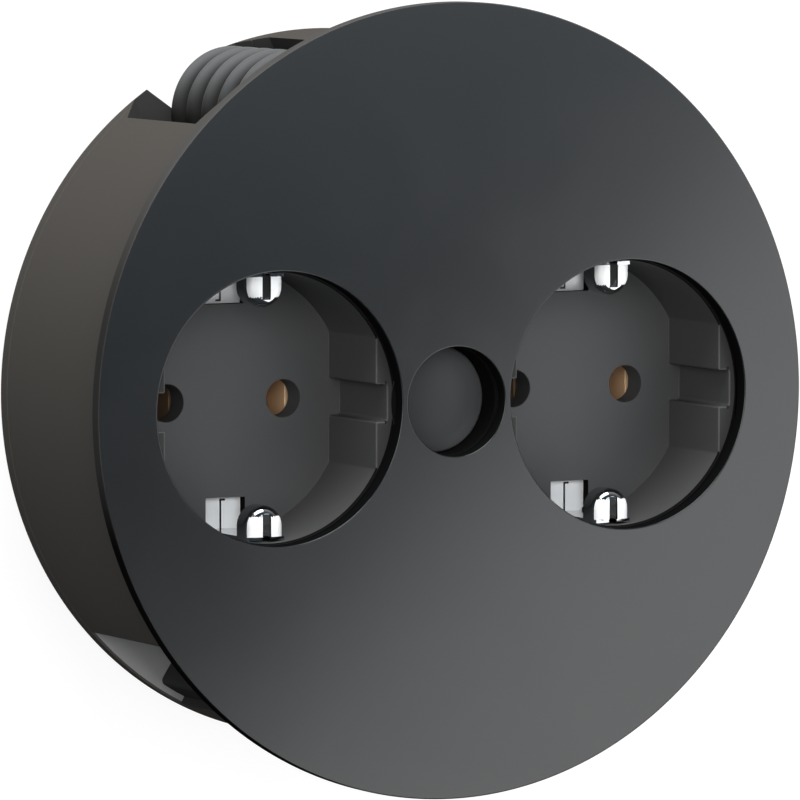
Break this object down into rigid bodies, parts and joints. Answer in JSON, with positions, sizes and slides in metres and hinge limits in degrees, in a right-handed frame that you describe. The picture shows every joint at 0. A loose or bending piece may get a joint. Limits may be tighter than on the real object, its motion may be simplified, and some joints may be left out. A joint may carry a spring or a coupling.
{
  "type": "in-desk power module",
  "caption": "Round in-desk power module: drum housing with earthed socket wells under a turning cover disc with a finger recess, a ribbed cable sleeve and swing-out fixing claws.",
  "frame": {"origin": "centre of the drum's flat rear face", "axes": "+Z out of the desk along the drum's axis, towards the user; +X along the line through both sockets; +Y up in the face, the cable bay's side"},
  "size_m": [0.1155, 0.1154, 0.0427],
  "materials": {
    "cover_satin": "satin",
    "drum_plastic": "matt",
    "well_plastic": "fine matt",
    "base_plastic": "matt",
    "terminal_plastic": "matt",
    "sleeve_rubber": "matt",
    "chromed_spring": "polished",
    "copper_strip": "satin copper",
    "claw_metal": "cast, matt",
    "screw_steel": "bright zinc"
  },
  "bodies": {
    "module": {"centre_cap": "cover_satin", "drum_housing": "drum_plastic", "rear_plate": "drum_plastic", "socket_deck": "well_plastic", "socket_well_left": "well_plastic", "socket_well_right": "well_plastic", "main_screw": "screw_steel", "line_bar": "copper_strip", "neutral_bar": "copper_strip", "earth_bar": "copper_strip", "terminal_block": "terminal_plastic", "cable_sleeve": "sleeve_rubber", "cable_clamp": "terminal_plastic", "earth_yoke_left": "chromed_spring", "earth_yoke_right": "chromed_spring", "contact_base_left": "base_plastic", "contact_base_right": "base_plastic", "line_contact_left": "copper_strip", "line_contact_right": "copper_strip", "neutral_contact_left": "copper_strip", "neutral_contact_right": "copper_strip", "claw_screw_left": "screw_steel", "claw_screw_right": "screw_steel"},
    "cover": {"cover": "cover_satin"},
    "claw_left": {"claw_left": "claw_metal"},
    "claw_right": {"claw_right": "claw_metal"}
  },
  "joints": [
    {"name": "cover_turn", "type": "hinge", "parent": "module", "child": "cover", "pos_m": [0, 0, 0.04], "axis": [0, 0, 1], "range_deg": [0, 90]},
    {"name": "claw_left_swing", "type": "hinge", "parent": "module", "child": "claw_left", "pos_m": [-0.02738, -0.03634, 0.0165], "axis": [0, 0, 1], "range_deg": [0, 90]},
    {"name": "claw_right_swing", "type": "hinge", "parent": "module", "child": "claw_right", "pos_m": [0.02738, 0.03634, 0.0165], "axis": [0, 0, 1], "range_deg": [0, 90]}
  ]
}
